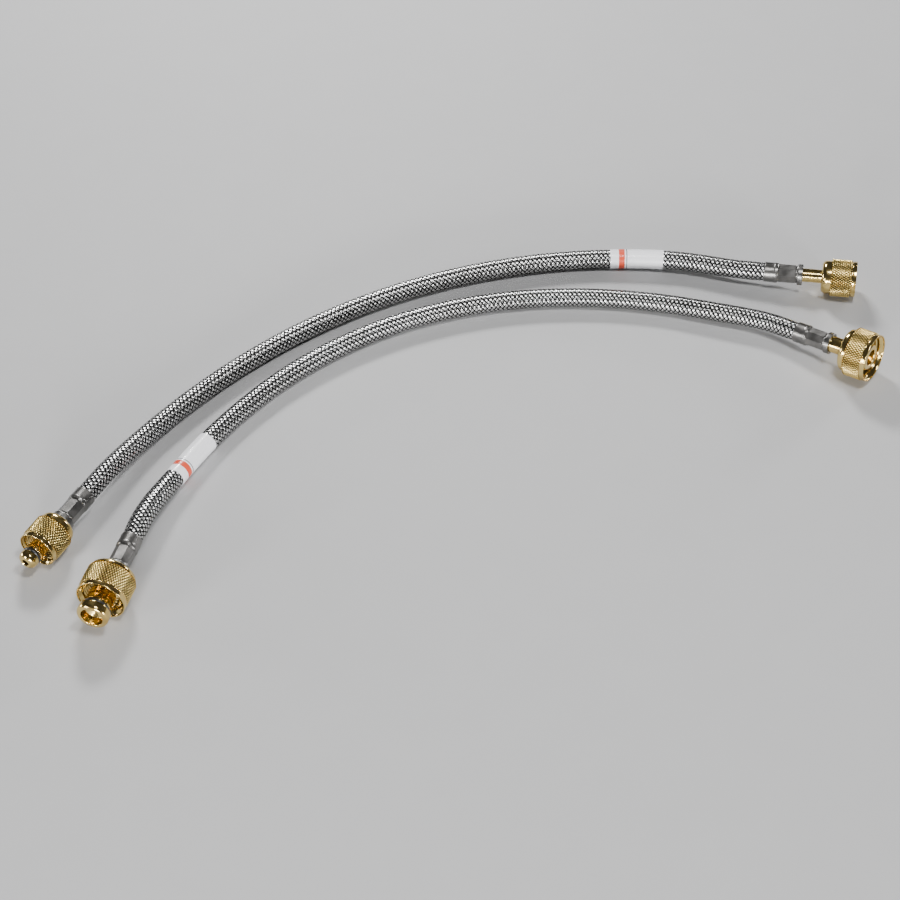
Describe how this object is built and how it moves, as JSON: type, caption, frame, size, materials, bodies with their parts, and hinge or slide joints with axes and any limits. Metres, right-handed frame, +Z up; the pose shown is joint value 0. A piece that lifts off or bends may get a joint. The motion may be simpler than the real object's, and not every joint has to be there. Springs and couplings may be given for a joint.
{
  "type": "propane regulator hose",
  "caption": "Pair of wire-braided gas hoses lying in a shallow curve, with crimped ferrules and knurled brass hand nuts.",
  "frame": {"origin": "on the surface that the hoses lie on, midway between the end fittings' outermost points", "axes": "+X to the right along the pair, +Y to the back, where the hoses bow out, +Z up"},
  "size_m": [0.4697, 0.2884, 0.0291],
  "materials": {
    "wire_braid": "woven bright stainless wire",
    "inner_tube": "matte black rubber",
    "label": "satin white film",
    "ferrule": "smooth drawn stainless steel",
    "brass": "turned and knurled bright brass",
    "seal": "satin black nitrile",
    "slip_washer": "plain pressed steel"
  },
  "bodies": {
    "hoses": {"front_braid": "wire_braid", "front_liner": "inner_tube", "front_label": "label", "rear_braid": "wire_braid", "rear_liner": "inner_tube", "rear_label": "label", "front_left_ferrule": "ferrule", "front_left_tailpiece": "brass", "front_left_oring": "seal", "front_right_ferrule": "ferrule", "front_right_tailpiece": "brass", "front_right_oring": "seal", "rear_left_ferrule": "ferrule", "rear_left_tailpiece": "brass", "rear_left_oring": "seal", "rear_right_ferrule": "ferrule", "rear_right_tailpiece": "brass", "rear_right_oring": "seal"},
    "front_left_slip_ring": {"front_left_washer": "slip_washer"},
    "front_left_hand_nut": {"front_left_nut": "brass"},
    "front_right_slip_ring": {"front_right_washer": "slip_washer"},
    "front_right_hand_nut": {"front_right_nut": "brass"},
    "rear_left_slip_ring": {"rear_left_washer": "slip_washer"},
    "rear_left_hand_nut": {"rear_left_nut": "brass"},
    "rear_right_slip_ring": {"rear_right_washer": "slip_washer"},
    "rear_right_hand_nut": {"rear_right_nut": "brass"}
  },
  "joints": [
    {"name": "front_left_nut_slide", "type": "slide", "parent": "hoses", "child": "front_left_slip_ring", "axis": [-0.2672, -0.9636, 0], "range_m": [-0.0012, 0.0093]},
    {"name": "front_left_nut_turn", "type": "hinge", "parent": "front_left_slip_ring", "child": "front_left_hand_nut", "pos_m": [-0.1834, -0.10594, 0.0133], "axis": [-0.2672, -0.9636, 0], "continuous": true},
    {"name": "front_right_nut_slide", "type": "slide", "parent": "hoses", "child": "front_right_slip_ring", "axis": [0.8089, -0.577, 0.1132], "range_m": [-0.0082, 0]},
    {"name": "front_right_nut_turn", "type": "hinge", "parent": "front_right_slip_ring", "child": "front_right_hand_nut", "pos_m": [0.21257, 0.0598, 0.01344], "axis": [0.8089, -0.577, 0.1132], "continuous": true},
    {"name": "rear_left_nut_slide", "type": "slide", "parent": "hoses", "child": "rear_left_slip_ring", "axis": [-0.4695, -0.8829, 0], "range_m": [-0.0007, 0.0101]},
    {"name": "rear_left_nut_turn", "type": "hinge", "parent": "rear_left_slip_ring", "child": "rear_left_hand_nut", "pos_m": [-0.21637, -0.07058, 0.0109], "axis": [-0.4695, -0.8829, 0], "continuous": true},
    {"name": "rear_right_nut_slide", "type": "slide", "parent": "hoses", "child": "rear_right_slip_ring", "axis": [0.9803, -0.1905, 0.0523], "range_m": [-0.0108, 0]},
    {"name": "rear_right_nut_turn", "type": "hinge", "parent": "rear_right_slip_ring", "child": "rear_right_hand_nut", "pos_m": [0.20778, 0.12459, 0.01059], "axis": [0.9803, -0.1905, 0.0523], "continuous": true}
  ]
}
